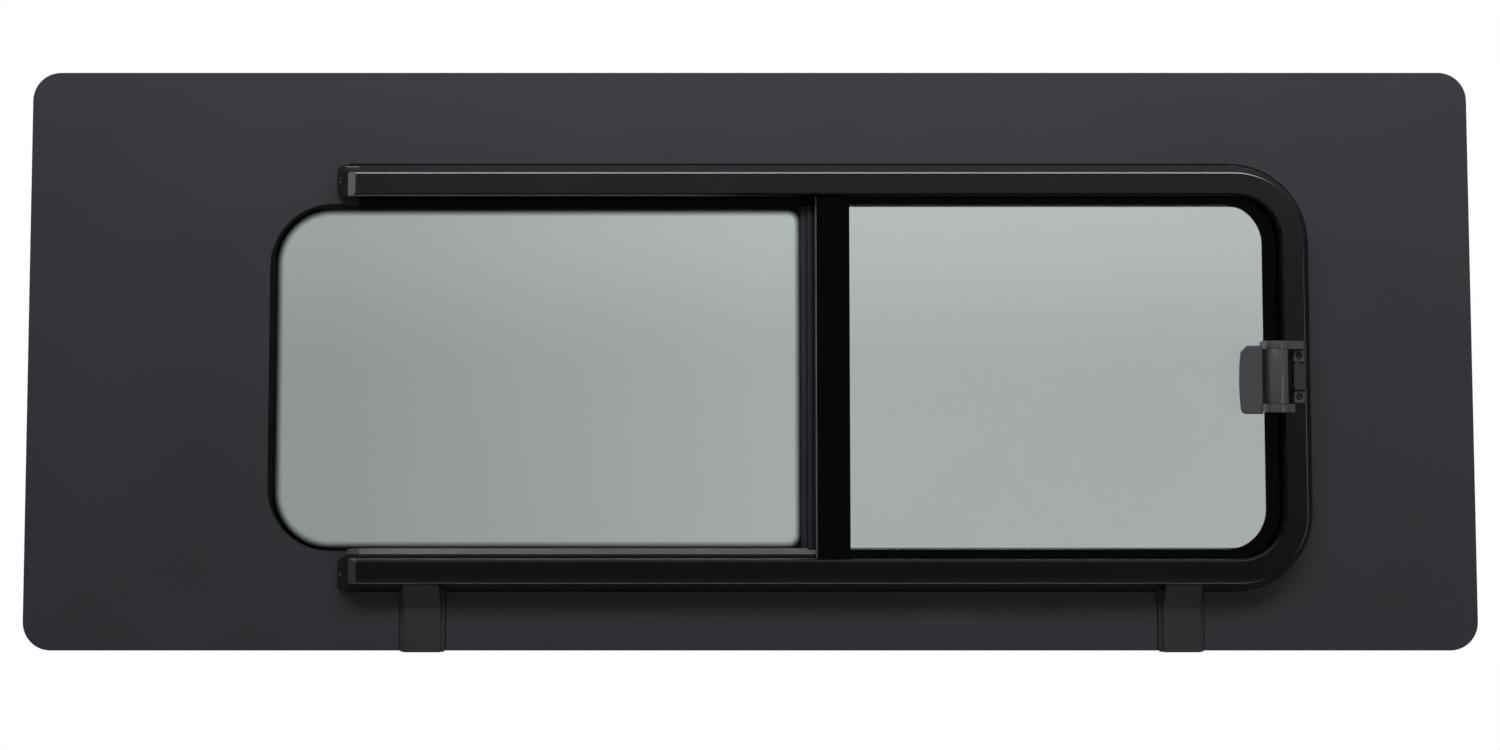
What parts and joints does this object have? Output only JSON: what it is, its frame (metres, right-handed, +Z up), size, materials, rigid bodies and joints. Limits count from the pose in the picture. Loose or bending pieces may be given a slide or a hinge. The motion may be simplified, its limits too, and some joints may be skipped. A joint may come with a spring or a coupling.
{
  "type": "van sliding window",
  "caption": "Bonded van side window: a large dark-printed glass sheet with a fixed light and an opening, closed from inside by a latched pane that slides in a bent rail.",
  "frame": {"origin": "middle of the sheet's lower edge, on the inner face that is bonded to the van", "axes": "+X along the van, to the right as seen from inside; +Z up; -Y into the van"},
  "size_m": [1.444, 0.0498, 0.5782],
  "materials": {
    "sheet_glass": "tinted tempered glass with a dark fired print on its inner face",
    "pane_glass": "tinted tempered glass with a black printed border",
    "rail": "black coated extrusion, satin",
    "tape": "black foam bonding tape",
    "cap": "black moulding, satin",
    "run_channel": "flocked black rubber",
    "mullion": "blue-black extrusion, satin",
    "pile": "black pile",
    "spout": "dark grey moulding, satin",
    "latch_plastic": "black moulding, satin",
    "pin": "plain steel pin"
  },
  "bodies": {
    "frame": {"outer_glass": "sheet_glass", "rail_frame": "rail", "upper_tape": "tape", "end_tape": "tape", "lower_tape": "tape", "upper_end_cap": "cap", "lower_end_cap": "cap", "upper_run_channel": "run_channel", "end_run_channel": "run_channel", "lower_run_channel": "run_channel", "mullion_strip": "mullion", "mullion_seal": "pile", "left_drain_spout": "spout", "right_drain_spout": "spout", "latch_keeper": "latch_plastic"},
    "sash": {"sliding_pane": "pane_glass", "latch_pad": "tape", "latch_base": "latch_plastic", "latch_pin": "pin"},
    "lever": {"latch_lever": "latch_plastic"}
  },
  "joints": [
    {"name": "pane_slide", "type": "slide", "parent": "frame", "child": "sash", "axis": [-1, 0, 0], "range_m": [0, 0.44]},
    {"name": "latch_press", "type": "hinge", "parent": "sash", "child": "lever", "pos_m": [0.516, -0.035, 0.2713], "axis": [0, 0, -1], "range_deg": [0, 16], "stiffness_Nm_per_rad": 0.6, "springref_deg": -11.46}
  ]
}
